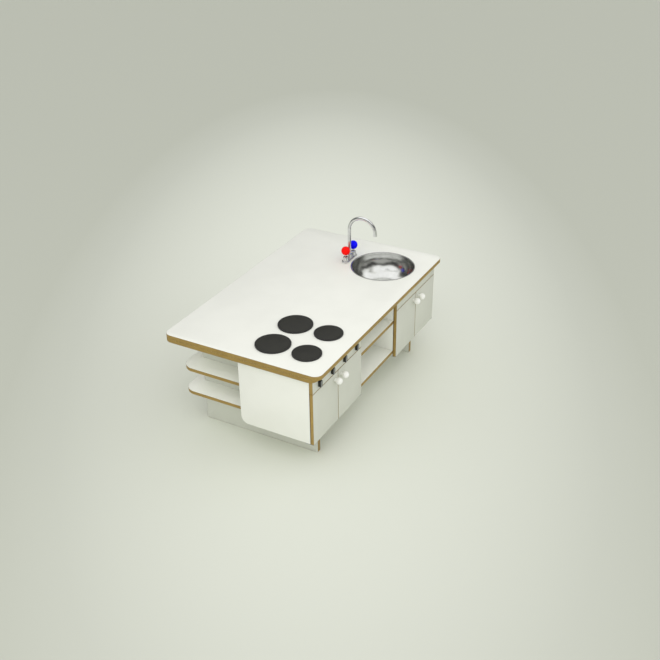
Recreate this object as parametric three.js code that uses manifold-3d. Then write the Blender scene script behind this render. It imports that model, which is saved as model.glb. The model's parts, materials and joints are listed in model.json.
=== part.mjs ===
// Toy kitchen for young children: a white worktop with a hob at one end and a sink at the other.
// Millimetres. X runs along the kitchen with the hob end at -X, the doors face -Y, and the floor is z = 0.
import * as THREE from 'three';
import { mergeVertices } from 'three/addons/utils/BufferGeometryUtils.js';
import Module from 'manifold-3d';

const wasm = await Module();
wasm.setup();

// Whole kitchen
const KITCHEN_LENGTH = 1200;
const KITCHEN_DEPTH = 738;
const WORKTOP_HEIGHT = 474;

// Board thicknesses
const WORKTOP_BOARD = 18;
const UNDER_BOARD = 16;
const BOARD = 15;
const LEG_BOARD = 19;
const BACK_BOARD = 6;

// Clearances
const FIT = 0.3;
const RUNNING = 0.1;
const DOOR_GAP = 2;

// Worktop and the board under it
const WORKTOP_CORNER = 35;
const UNDER_SETBACK = 19;

// Leg panels, set in from the ends, the front edge and the rear edge of the worktop
const LEG_END_INSET = 137;
const LEG_EDGE_INSET = 89;
const LEG_FOOT_RADIUS = 5;

// Cabinets: two with doors, and an open bay between them
const CABINET_WIDTH = 415;
const CABINET_DEPTH = 330;
const END_OVERHANG = 12;
const FRONT_OVERHANG = 35;
const CABINET_CLEARANCE = 138.5;
const BOTTOM_RISE = 15;
const BACK_INSET = 12;
const SIDE_CORNER = 35;
const FASCIA_DROP = 59.5;
const BAY_SHELF_DROP = 114;

// Long shelves on the rear side, which show at both ends
const REAR_SHELF_END_INSET = 40;
const REAR_SHELF_EDGE_INSET = 44;
const REAR_SHELF_CORNER = 55;
const REAR_SHELF_DROPS = { upper: 130, lower: 245.5 };

// Door hinges: a rod in the rear outer corner of each door
const HINGE_INSET = 4.5;
const HINGE_ROD_RADIUS = 1.5;
const HINGE_ROD_SEAT = 12;
const PIVOT_PLATE = { thickness: 2, length: 40 };

// Ball knobs on the doors
const DOOR_KNOB_RADIUS = 15;
const DOOR_KNOB_CENTRE = 19.5;
const DOOR_KNOB_NECK = 7;
const DOOR_KNOB_FROM_SEAM = 27;
const DOOR_KNOB_DROP = 30;

// Control knobs on the hob fascia
const CONTROL_COUNT = 4;
const CONTROL_DROP = 32.5;
const CONTROL_WIDTH = 16;
const CONTROL_LENGTH = 30;
const CONTROL_REACH = 12;
const CONTROL_CORNER = 5;
const CONTROL_EDGE = 1;
const SPINDLE_RADIUS = 3;
const SPINDLE_COLLAR = { radius: 7, height: 2.5 };
const SPINDLE_SEAT = 8;

// Hotplates, a large pair behind a small pair, set out from the hob end and the front edge
const HOTPLATE_FROM_END = { outer: 137, inner: 316 };
const HOTPLATE_FROM_FRONT = { rear: 288, front: 130 };
const HOTPLATE_RADIUS = { rear: 75, front: 61.5 };
const HOTPLATE_HEIGHT = 6;
const HOTPLATE_RIM = 5;
const HOTPLATE_RECESS = 1.5;
const HOTPLATE_EDGE = 1;

// Sink bowl, set out from the middle of its cabinet and the front edge
const SINK_OFF_MIDDLE = 3.5;
const SINK_FROM_FRONT = 206;
const SINK_RIM_RADIUS = 150;
const SINK_RIM = 6;
const SINK_SHEET = 1.6;
const SINK_DEPTH = 100;
const SINK_BEND = 92;
const SINK_CUTOUT_CLEARANCE = 1;

// Mixer tap, behind the sink
const TAP_BEHIND_SINK = 25;
const TAP_PLATE = { length: 116, depth: 34, height: 6 };
const TAP_COLLAR = { radius: 12, height: 26 };
const TAP_PILLAR = { radius: 13, height: 28, edge: 3 };
const TAP_HANDLE_SPACING = 75;
const TAP_STEM_RADIUS = 4;
const TAP_STEM_SEAT = 18;
const TAP_BALL_RADIUS = 21;
const TAP_BALL_CENTRE = 57;
const SPOUT_RADIUS = 8;
const SPOUT_WALL = 1.5;
const SPOUT_SEAT = 20;
const SPOUT_RISE = 152;
const SPOUT_BEND = 67;
const SPOUT_DROP = 8;

// Heights and faces that follow from the sizes above
const UNDERSIDE = WORKTOP_HEIGHT - WORKTOP_BOARD - UNDER_BOARD;
const FRONT_Y = -KITCHEN_DEPTH / 2 + FRONT_OVERHANG;
const CARCASS_FRONT = FRONT_Y + BOARD + FIT;
const CARCASS_REAR = CARCASS_FRONT + CABINET_DEPTH;
const CABINET_OUTER = KITCHEN_LENGTH / 2 - END_OVERHANG;
const CABINET_INNER = CABINET_OUTER - CABINET_WIDTH;
const BACK_REAR = CARCASS_REAR - BACK_INSET;
const BACK_FRONT = BACK_REAR - BACK_BOARD;
const BOTTOM_Z = CABINET_CLEARANCE + BOTTOM_RISE;
const BOTTOM_TOP = BOTTOM_Z + BOARD;
const LEG_OUTER = KITCHEN_LENGTH / 2 - LEG_END_INSET;
const LEG_INNER = LEG_OUTER - LEG_BOARD;
const LEG_REAR = KITCHEN_DEPTH / 2 - LEG_EDGE_INSET;
const REAR_SHELF_FRONT = CARCASS_REAR + FIT;
const REAR_SHELF_LAP = (REAR_SHELF_FRONT + LEG_REAR) / 2;
const REAR_SHELF_TOPS = {
  upper: UNDERSIDE - REAR_SHELF_DROPS.upper,
  lower: UNDERSIDE - REAR_SHELF_DROPS.lower,
};
const BAY_SHELF_TOP = UNDERSIDE - BAY_SHELF_DROP;
const FASCIA_BOTTOM = UNDERSIDE - FASCIA_DROP;
const DOOR_TOP = FASCIA_BOTTOM - DOOR_GAP;
const DOOR_KNOB_Z = DOOR_TOP - DOOR_KNOB_DROP;
const CONTROL_Z = UNDERSIDE - CONTROL_DROP;
const HINGE_Y = FRONT_Y + BOARD - HINGE_INSET;
const SINK_X = (CABINET_OUTER + CABINET_INNER) / 2 - SINK_OFF_MIDDLE;
const SINK_Y = -KITCHEN_DEPTH / 2 + SINK_FROM_FRONT;
const TAP_X = SINK_X;
const TAP_Y = SINK_Y + SINK_RIM_RADIUS + TAP_BEHIND_SINK;

const COLOURS = {
  laminate: { color: 0xeeeee6, roughness: 0.35, metalness: 0 },
  door: { color: 0xe9eae2, roughness: 0.4, metalness: 0 },
  panel: { color: 0xb4b7ab, roughness: 0.5, metalness: 0 },
  ply: { color: 0xa9915a, roughness: 0.6, metalness: 0 },
  black: { color: 0x141412, roughness: 0.3, metalness: 0 },
  grey: { color: 0x42423a, roughness: 0.55, metalness: 0 },
  steel: { color: 0xc4c6c4, roughness: 0.22, metalness: 1 },
  chrome: { color: 0xd8dadb, roughness: 0.08, metalness: 1 },
  white: { color: 0xf2f2ec, roughness: 0.3, metalness: 0 },
  red: { color: 0xe0140f, roughness: 0.25, metalness: 0 },
  blue: { color: 0x0b18d8, roughness: 0.25, metalness: 0 },
};

const group = new THREE.Group();
group.name = 'toy_kitchen';

function solidOf(geometry) {
  const bare = geometry.clone();
  bare.deleteAttribute('normal');
  bare.deleteAttribute('uv');
  const merged = mergeVertices(bare, 1e-4);
  return new wasm.Manifold(new wasm.Mesh({
    numProp: 3,
    vertProperties: new Float32Array(merged.attributes.position.array),
    triVerts: new Uint32Array(merged.index.array),
  }));
}

function geometryOf(solid) {
  const mesh = solid.getMesh();
  const geometry = new THREE.BufferGeometry();
  geometry.setAttribute('position', new THREE.BufferAttribute(new Float32Array(mesh.vertProperties), 3));
  geometry.setIndex(new THREE.BufferAttribute(new Uint32Array(mesh.triVerts), 1));
  const flat = geometry.toNonIndexed();
  flat.computeVertexNormals();
  return flat;
}

function addPart(name, shape, finish) {
  const geometry = shape.isBufferGeometry ? shape : geometryOf(shape);
  const mesh = new THREE.Mesh(geometry, new THREE.MeshStandardMaterial(COLOURS[finish]));
  mesh.name = name;
  group.add(mesh);
  return mesh;
}

// Adds an arc to an outline as short straight runs.
function addArc(path, x, y, radius, from, to, steps) {
  for (let i = 0; i <= steps; i += 1) {
    const angle = from + ((to - from) * i) / steps;
    path.lineTo(x + radius * Math.cos(angle), y + radius * Math.sin(angle));
  }
}

// A rectangle with its own radius at each corner, in the order low-low, high-low, high-high, low-high.
function rectangle(x0, y0, x1, y1, radii = [0, 0, 0, 0], steps = 8) {
  const corners = [[x0, y0, 1, 1], [x1, y0, -1, 1], [x1, y1, -1, -1], [x0, y1, 1, -1]];
  const shape = new THREE.Shape();
  corners.forEach(([x, y, inX, inY], i) => {
    const r = radii[i];
    const from = Math.PI + (i * Math.PI) / 2;
    if (i === 0) shape.moveTo(x, y + r);
    if (r > 0) {
      addArc(shape, x + inX * r, y + inY * r, r, from, from + Math.PI / 2, steps);
    } else {
      shape.lineTo(x, y);
    }
  });
  return shape;
}

function circle(x, y, radius, steps) {
  const path = new THREE.Path();
  path.moveTo(x + radius, y);
  addArc(path, x, y, radius, (Math.PI * 2) / steps, Math.PI * 2 * (1 - 1 / steps), steps - 2);
  return path;
}

function extrude(shape, depth) {
  return new THREE.ExtrudeGeometry(shape, { depth, bevelEnabled: false });
}

// Lying board: the outline is in X and Y, from height z upwards.
function lyingBoard(shape, z, thickness) {
  return solidOf(extrude(shape, thickness)).translate([0, 0, z]);
}

// Upright board across the kitchen: the outline is in Y and Z, from x towards +X.
function crossBoard(shape, x, thickness) {
  const geometry = extrude(shape, thickness);
  geometry.applyMatrix4(new THREE.Matrix4().makeBasis(
    new THREE.Vector3(0, 1, 0),
    new THREE.Vector3(0, 0, 1),
    new THREE.Vector3(1, 0, 0),
  ));
  return solidOf(geometry).translate([x, 0, 0]);
}

// Upright board along the kitchen: the outline is in X and Z, from y towards +Y.
function longBoard(shape, y, thickness) {
  const geometry = extrude(shape, thickness);
  geometry.applyMatrix4(new THREE.Matrix4().makeBasis(
    new THREE.Vector3(1, 0, 0),
    new THREE.Vector3(0, 0, 1),
    new THREE.Vector3(0, -1, 0),
  ));
  return solidOf(geometry).translate([0, y + thickness, 0]);
}

function box(x0, x1, y0, y1, z0, z1) {
  const geometry = new THREE.BoxGeometry(x1 - x0, y1 - y0, z1 - z0);
  return solidOf(geometry).translate([(x0 + x1) / 2, (y0 + y1) / 2, (z0 + z1) / 2]);
}

// Turned piece about a vertical axis. The profile is a list of [radius, height].
function turned(profile, segments) {
  const points = profile.map(([r, h]) => new THREE.Vector2(r, h));
  const geometry = new THREE.LatheGeometry(points, segments);
  geometry.rotateX(Math.PI / 2);
  return solidOf(geometry);
}

function upright(radius, x, y, z0, z1, segments = 24) {
  return turned([[0, z0], [radius, z0], [radius, z1], [0, z1]], segments).translate([x, y, 0]);
}

// Turns a piece made about +Z so that it points out of the front, from the plane y.
function outOfFront(solid, x, y, z) {
  return solid.rotate([90, 0, 0]).translate([x, y, z]);
}

function arc(centreR, centreH, radius, from, to, steps) {
  const points = [];
  for (let i = 0; i <= steps; i += 1) {
    const angle = from + ((to - from) * i) / steps;
    points.push([centreR + radius * Math.cos(angle), centreH + radius * Math.sin(angle)]);
  }
  return points;
}

// Worktop: two boards with the sink cut-out through both
const cutoutRadius = SINK_RIM_RADIUS - SINK_RIM + SINK_SHEET + SINK_CUTOUT_CLEARANCE;
function topBoard(frontY, z, thickness) {
  const shape = rectangle(
    -KITCHEN_LENGTH / 2, frontY, KITCHEN_LENGTH / 2, KITCHEN_DEPTH / 2,
    [WORKTOP_CORNER, WORKTOP_CORNER, WORKTOP_CORNER, WORKTOP_CORNER],
  );
  shape.holes.push(circle(SINK_X, SINK_Y, cutoutRadius, 52));
  return lyingBoard(shape, z, thickness);
}
addPart('worktop', topBoard(-KITCHEN_DEPTH / 2, UNDERSIDE + UNDER_BOARD, WORKTOP_BOARD), 'laminate');
addPart(
  'worktop_under_board',
  topBoard(-KITCHEN_DEPTH / 2 + UNDER_SETBACK, UNDERSIDE, UNDER_BOARD - FIT),
  'ply',
);

// Leg panels: low under the cabinets, full height behind them, slotted from the rear for the long shelves
function legOutline() {
  const stepY = BACK_REAR + FIT;
  const rear = LEG_REAR;
  const r = LEG_FOOT_RADIUS;
  const shape = new THREE.Shape();
  shape.moveTo(-rear + r, 0);
  shape.lineTo(rear - r, 0);
  addArc(shape, rear - r, r, r, -Math.PI / 2, 0, 4);
  for (const top of [REAR_SHELF_TOPS.lower, REAR_SHELF_TOPS.upper]) {
    shape.lineTo(rear, top - BOARD - FIT);
    shape.lineTo(REAR_SHELF_LAP - FIT, top - BOARD - FIT);
    shape.lineTo(REAR_SHELF_LAP - FIT, top + FIT);
    shape.lineTo(rear, top + FIT);
  }
  shape.lineTo(rear, UNDERSIDE - FIT);
  shape.lineTo(stepY, UNDERSIDE - FIT);
  shape.lineTo(stepY, BOTTOM_Z - FIT);
  shape.lineTo(-rear, BOTTOM_Z - FIT);
  shape.lineTo(-rear, r);
  addArc(shape, -rear + r, r, r, Math.PI, Math.PI * 1.5, 4);
  return shape;
}
addPart('leg_panel_hob_end', crossBoard(legOutline(), -LEG_OUTER, LEG_BOARD), 'panel');
addPart('leg_panel_sink_end', crossBoard(legOutline(), LEG_INNER, LEG_BOARD), 'panel');

// Long rear shelves, slotted from the front over the leg panels
function rearShelf(top) {
  const half = KITCHEN_LENGTH / 2 - REAR_SHELF_END_INSET;
  const outline = rectangle(
    -half, REAR_SHELF_FRONT, half, KITCHEN_DEPTH / 2 - REAR_SHELF_EDGE_INSET,
    [0, 0, REAR_SHELF_CORNER, REAR_SHELF_CORNER],
    12,
  );
  let shelf = lyingBoard(outline, top - BOARD, BOARD);
  for (const x of [-LEG_OUTER, LEG_INNER]) {
    shelf = shelf.subtract(
      box(x - FIT, x + LEG_BOARD + FIT, CARCASS_REAR - BOARD, REAR_SHELF_LAP, top - BOARD * 2, top + BOARD),
    );
  }
  return shelf;
}
addPart('rear_shelf_upper', rearShelf(REAR_SHELF_TOPS.upper), 'laminate');
addPart('rear_shelf_lower', rearShelf(REAR_SHELF_TOPS.lower), 'laminate');

// Cabinet sides, with the lower rear corner rounded
function cabinetSide(x) {
  const outline = rectangle(
    CARCASS_FRONT, CABINET_CLEARANCE, CARCASS_REAR, UNDERSIDE - FIT,
    [0, SIDE_CORNER, 0, 0],
  );
  return crossBoard(outline, x, BOARD);
}
addPart('hob_side_outer', cabinetSide(-CABINET_OUTER), 'laminate');
addPart('hob_side_inner', cabinetSide(-CABINET_INNER - BOARD), 'laminate');
addPart('sink_side_inner', cabinetSide(CABINET_INNER), 'laminate');
addPart('sink_side_outer', cabinetSide(CABINET_OUTER - BOARD), 'laminate');

// Bottoms and backs of the three bays
const BAYS = [
  { name: 'hob', x0: -CABINET_OUTER + BOARD + FIT, x1: -CABINET_INNER - BOARD - FIT },
  { name: 'bay', x0: -CABINET_INNER + FIT, x1: CABINET_INNER - FIT },
  { name: 'sink', x0: CABINET_INNER + BOARD + FIT, x1: CABINET_OUTER - BOARD - FIT },
];
for (const { name, x0, x1 } of BAYS) {
  addPart(`${name}_bottom`, box(x0, x1, CARCASS_FRONT, BACK_REAR, BOTTOM_Z, BOTTOM_TOP), 'laminate');
  addPart(`${name}_back`, box(x0, x1, BACK_FRONT, BACK_REAR, BOTTOM_TOP + FIT, UNDERSIDE - FIT), 'laminate');
}
addPart(
  'bay_shelf',
  box(BAYS[1].x0, BAYS[1].x1, CARCASS_FRONT, BACK_FRONT - FIT, BAY_SHELF_TOP - BOARD, BAY_SHELF_TOP),
  'laminate',
);

// Fronts: a fascia over two doors on each cabinet
const CABINETS = [
  { name: 'hob', x0: -CABINET_OUTER, x1: -CABINET_INNER },
  { name: 'sink', x0: CABINET_INNER, x1: CABINET_OUTER },
];
const rodBore = HINGE_ROD_RADIUS + RUNNING;
const spindleBore = SPINDLE_RADIUS + RUNNING;
const controlPitch = CABINET_WIDTH / CONTROL_COUNT;
const controlXs = [];
for (let i = 0; i < CONTROL_COUNT; i += 1) {
  controlXs.push(-CABINET_OUTER + controlPitch * (i + 0.5));
}

function fascia({ name, x0, x1 }) {
  const shape = rectangle(x0, FASCIA_BOTTOM, x1, UNDERSIDE - FIT);
  if (name === 'hob') {
    controlXs.forEach((x) => shape.holes.push(circle(x, CONTROL_Z, spindleBore, 20)));
  }
  let solid = longBoard(shape, FRONT_Y, BOARD);
  for (const x of [x0 + HINGE_INSET, x1 - HINGE_INSET]) {
    solid = solid.subtract(
      upright(rodBore, x, HINGE_Y, FASCIA_BOTTOM - BOARD, FASCIA_BOTTOM + HINGE_ROD_SEAT, 16),
    );
  }
  return solid;
}

// A door seen from above: square but for the corner that turns about the hinge rod.
function door(hingeX, seamX) {
  const side = Math.sign(seamX - hingeX);
  const rodX = hingeX + side * HINGE_INSET;
  const rearY = FRONT_Y + BOARD;
  const shape = new THREE.Shape();
  shape.moveTo(seamX, FRONT_Y);
  shape.lineTo(hingeX, FRONT_Y);
  shape.lineTo(hingeX, HINGE_Y);
  addArc(shape, rodX, HINGE_Y, HINGE_INSET, side > 0 ? Math.PI : 0, Math.PI / 2, 6);
  shape.lineTo(seamX, rearY);
  shape.holes.push(circle(rodX, HINGE_Y, rodBore, 16));
  return lyingBoard(shape, CABINET_CLEARANCE, DOOR_TOP - CABINET_CLEARANCE);
}

// Ball knob: a short neck that runs into the ball
function ballKnob() {
  const neckTop = DOOR_KNOB_CENTRE - Math.sqrt(DOOR_KNOB_RADIUS ** 2 - DOOR_KNOB_NECK ** 2);
  const start = Math.atan2(neckTop - DOOR_KNOB_CENTRE, DOOR_KNOB_NECK);
  const ball = arc(0, DOOR_KNOB_CENTRE, DOOR_KNOB_RADIUS, start, Math.PI / 2, 9);
  ball[ball.length - 1][0] = 0;
  return turned([[0, 0], [DOOR_KNOB_NECK, 0], ...ball], 16);
}

for (const cabinet of CABINETS) {
  const { name, x0, x1 } = cabinet;
  const seam = (x0 + x1) / 2;
  addPart(`${name}_fascia`, fascia(cabinet), 'door');
  for (const [hand, hingeX, side] of [['left', x0, 1], ['right', x1, -1]]) {
    const rodX = hingeX + side * HINGE_INSET;
    const plateX = side > 0 ? hingeX : hingeX - BOARD;
    const plateTop = CABINET_CLEARANCE - FIT;
    const plateZ = plateTop - PIVOT_PLATE.thickness;
    const plate = box(plateX, plateX + BOARD, FRONT_Y + FIT, FRONT_Y + PIVOT_PLATE.length, plateZ, plateTop);
    addPart(`${name}_door_${hand}`, door(hingeX, seam - (side * DOOR_GAP) / 2), 'door');
    addPart(
      `${name}_door_knob_${hand}`,
      outOfFront(ballKnob(), seam - side * DOOR_KNOB_FROM_SEAM, FRONT_Y - FIT, DOOR_KNOB_Z),
      'white',
    );
    addPart(
      `${name}_hinge_rod_${hand}`,
      upright(HINGE_ROD_RADIUS, rodX, HINGE_Y, plateZ, FASCIA_BOTTOM + HINGE_ROD_SEAT - FIT, 16),
      'steel',
    );
    addPart(
      `${name}_pivot_plate_${hand}`,
      plate.subtract(upright(rodBore, rodX, HINGE_Y, plateZ - BOARD, plateTop + BOARD, 16)),
      'steel',
    );
  }
}

// Control knobs: an upright block with rounded corners, on a spindle through the fascia
function controlKnob() {
  const outline = rectangle(
    -CONTROL_WIDTH / 2, -CONTROL_LENGTH / 2, CONTROL_WIDTH / 2, CONTROL_LENGTH / 2,
    [CONTROL_CORNER, CONTROL_CORNER, CONTROL_CORNER, CONTROL_CORNER], 4,
  );
  const block = new THREE.ExtrudeGeometry(outline, {
    depth: CONTROL_REACH - 2 * CONTROL_EDGE,
    bevelThickness: CONTROL_EDGE,
    bevelSize: CONTROL_EDGE,
    bevelOffset: -CONTROL_EDGE,
    bevelSegments: 1,
  });
  const seat = upright(SPINDLE_RADIUS + FIT, 0, 0, -CONTROL_REACH, SPINDLE_SEAT, 20);
  return solidOf(block).translate([0, 0, CONTROL_EDGE]).subtract(seat);
}

function spindle() {
  const behind = -FIT - BOARD - FIT;
  return turned([
    [0, behind - SPINDLE_COLLAR.height],
    [SPINDLE_COLLAR.radius, behind - SPINDLE_COLLAR.height],
    [SPINDLE_COLLAR.radius, behind],
    [SPINDLE_RADIUS, behind],
    [SPINDLE_RADIUS, SPINDLE_SEAT - FIT],
    [0, SPINDLE_SEAT - FIT],
  ], 20);
}

controlXs.forEach((x, index) => {
  const knobY = FRONT_Y - FIT;
  addPart(`control_knob_${index + 1}`, outOfFront(controlKnob(), x, knobY, CONTROL_Z), 'black');
  addPart(`control_spindle_${index + 1}`, outOfFront(spindle(), x, knobY, CONTROL_Z), 'steel');
});

// Hotplates: a black disc with a rim, and a grey plate let into it
function addHotplate(name, x, y, radius) {
  const base = WORKTOP_HEIGHT + FIT;
  const well = radius - HOTPLATE_RIM;
  const floor = HOTPLATE_HEIGHT - HOTPLATE_RECESS;
  const disc = turned([
    [0, 0],
    [radius, 0],
    [radius, HOTPLATE_HEIGHT - HOTPLATE_EDGE],
    [radius - HOTPLATE_EDGE, HOTPLATE_HEIGHT],
    [well, HOTPLATE_HEIGHT],
    [well, floor],
    [0, floor],
  ], 40);
  addPart(`hotplate_${name}`, disc.translate([x, y, base]), 'black');
  const plateTop = base + HOTPLATE_HEIGHT;
  addPart(`hotplate_disc_${name}`, upright(well - FIT, x, y, base + floor + FIT, plateTop, 40), 'grey');
}
for (const row of ['rear', 'front']) {
  for (const column of ['outer', 'inner']) {
    const x = -KITCHEN_LENGTH / 2 + HOTPLATE_FROM_END[column];
    const y = -KITCHEN_DEPTH / 2 + HOTPLATE_FROM_FRONT[row];
    addHotplate(`${row}_${column}`, x, y, HOTPLATE_RADIUS[row]);
  }
}

// Sink bowl: thin steel with a flat lip that rests on the worktop
function sinkBowl() {
  const wall = SINK_RIM_RADIUS - SINK_RIM;
  const bendR = wall - SINK_BEND;
  const bendH = SINK_SHEET - SINK_DEPTH + SINK_BEND;
  const outer = arc(bendR, bendH, SINK_BEND + SINK_SHEET, -Math.PI / 2, 0, 7);
  const inner = arc(bendR, bendH, SINK_BEND, 0, -Math.PI / 2, 7);
  return turned([
    [0, bendH - SINK_BEND - SINK_SHEET],
    ...outer,
    [wall + SINK_SHEET, 0],
    [SINK_RIM_RADIUS, 0],
    [SINK_RIM_RADIUS, SINK_SHEET / 2],
    [SINK_RIM_RADIUS - SINK_SHEET / 2, SINK_SHEET],
    [wall + SINK_SHEET / 2, SINK_SHEET],
    [wall, SINK_SHEET / 2],
    ...inner,
    [0, bendH - SINK_BEND],
  ], 52);
}
addPart('sink_bowl', sinkBowl().translate([SINK_X, SINK_Y, WORKTOP_HEIGHT + FIT]), 'steel');

// Tap base: a plate with a collar for the spout and a pillar for each handle
function tapBase() {
  const { length, depth, height } = TAP_PLATE;
  const round = depth / 2;
  const plate = lyingBoard(
    rectangle(-length / 2, -round, length / 2, round, [round, round, round, round]), 0, height,
  );
  const pillarXs = [-TAP_HANDLE_SPACING / 2, TAP_HANDLE_SPACING / 2];
  let solid = plate.add(upright(TAP_COLLAR.radius, 0, 0, height / 2, TAP_COLLAR.height, 28));
  for (const x of pillarXs) {
    solid = solid.add(turned([
      [0, height / 2],
      [TAP_PILLAR.radius, height / 2],
      [TAP_PILLAR.radius, TAP_PILLAR.height - TAP_PILLAR.edge],
      [TAP_PILLAR.radius - TAP_PILLAR.edge, TAP_PILLAR.height],
      [0, TAP_PILLAR.height],
    ], 28).translate([x, 0, 0]));
  }
  const seatTop = TAP_COLLAR.height + height;
  solid = solid.subtract(
    upright(SPOUT_RADIUS + RUNNING, 0, 0, TAP_COLLAR.height - SPOUT_SEAT, seatTop, 32),
  );
  for (const x of pillarXs) {
    const floor = TAP_PILLAR.height - TAP_STEM_SEAT;
    solid = solid.subtract(upright(TAP_STEM_RADIUS + RUNNING, x, 0, floor, seatTop + height, 20));
  }
  return solid;
}
const tapZ = WORKTOP_HEIGHT + FIT;
addPart('tap_base', tapBase().translate([TAP_X, TAP_Y, tapZ]), 'chrome');

// Swan-neck spout: a tube that rises, bends over and ends above the bowl
class SwanNeck extends THREE.Curve {
  getPoint(t, target = new THREE.Vector3()) {
    const foot = TAP_COLLAR.height - SPOUT_SEAT + FIT;
    const rise = SPOUT_RISE - foot;
    const bend = Math.PI * SPOUT_BEND;
    const along = t * (rise + bend + SPOUT_DROP);
    if (along < rise) {
      return target.set(0, 0, foot + along);
    }
    const angle = Math.min((along - rise) / SPOUT_BEND, Math.PI);
    const drop = Math.max(along - rise - bend, 0);
    return target.set(
      0,
      -SPOUT_BEND * (1 - Math.cos(angle)),
      SPOUT_RISE + SPOUT_BEND * Math.sin(angle) - drop,
    );
  }
}

function spout() {
  const ring = new THREE.Shape(circle(0, 0, SPOUT_RADIUS, 18).getPoints());
  ring.holes.push(circle(0, 0, SPOUT_RADIUS - SPOUT_WALL, 18));
  return new THREE.ExtrudeGeometry(ring, { steps: 24, bevelEnabled: false, extrudePath: new SwanNeck() });
}
addPart('tap_spout', solidOf(spout()).translate([TAP_X, TAP_Y, tapZ]), 'chrome');

// Tap handles: a coloured ball on a stem that turns in its pillar
const stemTop = TAP_BALL_CENTRE - TAP_BALL_RADIUS / 3;
function handleBall() {
  const mouth = TAP_STEM_RADIUS + FIT;
  const start = -Math.acos(mouth / TAP_BALL_RADIUS);
  const ball = arc(0, TAP_BALL_CENTRE, TAP_BALL_RADIUS, start, Math.PI / 2, 11);
  ball[ball.length - 1][0] = 0;
  return turned([[0, stemTop + FIT], [mouth, stemTop + FIT], ...ball], 24);
}
for (const [name, side, finish] of [['hot', -1, 'red'], ['cold', 1, 'blue']]) {
  const x = TAP_X + (side * TAP_HANDLE_SPACING) / 2;
  const foot = TAP_PILLAR.height - TAP_STEM_SEAT + FIT;
  addPart(`tap_stem_${name}`, upright(TAP_STEM_RADIUS, x, TAP_Y, tapZ + foot, tapZ + stemTop, 20), 'chrome');
  addPart(`tap_ball_${name}`, handleBall().translate([x, TAP_Y, tapZ]), finish);
}

export default group;
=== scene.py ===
"""Finished model of a low wooden toy kitchen: boards, doors, knobs, hotplates, sink and mixer tap."""
import json
import logging
import math
from contextlib import contextmanager
from dataclasses import dataclass, field
from enum import Enum
from typing import Callable, Iterator, Sequence

import bmesh
import bpy
from mathutils import Matrix, Vector

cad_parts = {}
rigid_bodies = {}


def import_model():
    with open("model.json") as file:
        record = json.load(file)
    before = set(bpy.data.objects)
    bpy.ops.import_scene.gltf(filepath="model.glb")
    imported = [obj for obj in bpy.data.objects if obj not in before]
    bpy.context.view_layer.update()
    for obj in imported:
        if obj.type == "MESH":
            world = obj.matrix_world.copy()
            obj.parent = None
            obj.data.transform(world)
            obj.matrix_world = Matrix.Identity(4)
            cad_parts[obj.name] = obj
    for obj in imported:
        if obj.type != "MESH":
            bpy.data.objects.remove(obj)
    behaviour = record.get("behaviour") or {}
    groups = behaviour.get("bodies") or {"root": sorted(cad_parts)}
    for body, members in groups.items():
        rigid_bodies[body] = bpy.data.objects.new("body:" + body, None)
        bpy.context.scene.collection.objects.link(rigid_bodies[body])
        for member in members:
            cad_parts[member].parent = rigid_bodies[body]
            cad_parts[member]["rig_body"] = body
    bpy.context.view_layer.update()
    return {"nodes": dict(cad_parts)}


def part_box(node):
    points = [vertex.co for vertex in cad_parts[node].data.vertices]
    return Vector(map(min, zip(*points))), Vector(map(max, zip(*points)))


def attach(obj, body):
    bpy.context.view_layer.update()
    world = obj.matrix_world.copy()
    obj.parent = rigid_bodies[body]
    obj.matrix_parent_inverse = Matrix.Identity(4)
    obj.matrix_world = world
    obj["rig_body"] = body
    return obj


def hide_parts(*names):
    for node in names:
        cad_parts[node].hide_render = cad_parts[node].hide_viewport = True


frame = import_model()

MM = 0.001
# Gap between pieces that touch, and round a pin that turns.
FIT = 0.3 * MM
RUNNING = 0.1 * MM
# How near two places count as one.
TOUCH = 0.05 * MM
# How far a cutter stands out of a board, and how long one is that goes right through.
SPARE = 10 * MM
THROUGH = 1.0
LOG = logging.getLogger("toy_kitchen")

Point = tuple[float, float]
Stops = tuple[tuple[float, str], ...]


class Axis(Enum):
    """The axis that a board's thickness lies along, or that a turned piece stands on."""

    X = 0
    Y = 1
    Z = 2


# ---------------------------------------------------------------- shader helpers


def linear(code: str, alpha: float = 1.0) -> tuple[float, float, float, float]:
    """Turns an sRGB hex colour into the linear colour that a shader takes.

    Args:
        code: Six hex digits.
        alpha: The fourth value.

    Returns:
        Red, green, blue and alpha.
    """
    parts = [int(code[i : i + 2], 16) / 255 for i in (0, 2, 4)]
    r, g, b = (c / 12.92 if c <= 0.04045 else ((c + 0.055) / 1.055) ** 2.4 for c in parts)
    return r, g, b, alpha


def add_node(
    tree: bpy.types.NodeTree,
    kind: str,
    settings: dict[str, object] | None = None,
    values: dict[str | int, object] | None = None,
    links: dict[str | int, bpy.types.NodeSocket] | None = None,
    stops: Stops = (),
) -> bpy.types.Node:
    """Adds one node with its settings, its own values and what feeds it.

    Args:
        tree: The node tree.
        kind: The node's type name.
        settings: Properties of the node.
        values: Input sockets and the constants they hold.
        links: Input sockets and the outputs that feed them.
        stops: Places from 0 to 1 and sRGB hex colours, for a node that has a colour ramp.

    Returns:
        The new node.
    """
    made = tree.nodes.new(kind)
    for key, value in (settings or {}).items():
        setattr(made, key, value)
    for key, value in (values or {}).items():
        made.inputs[key].default_value = value
    for key, socket in (links or {}).items():
        tree.links.new(socket, made.inputs[key])
    for _ in stops[2:]:
        made.color_ramp.elements.new(0.5)
    for i, (place, code) in enumerate(stops):
        made.color_ramp.elements[i].position = place
        made.color_ramp.elements[i].color = linear(code)
    return made


def cells_per_metre(size_mm: float) -> float:
    """Scale of a noise texture whose grains are about size_mm wide."""
    return 1 / (size_mm * MM)


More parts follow.
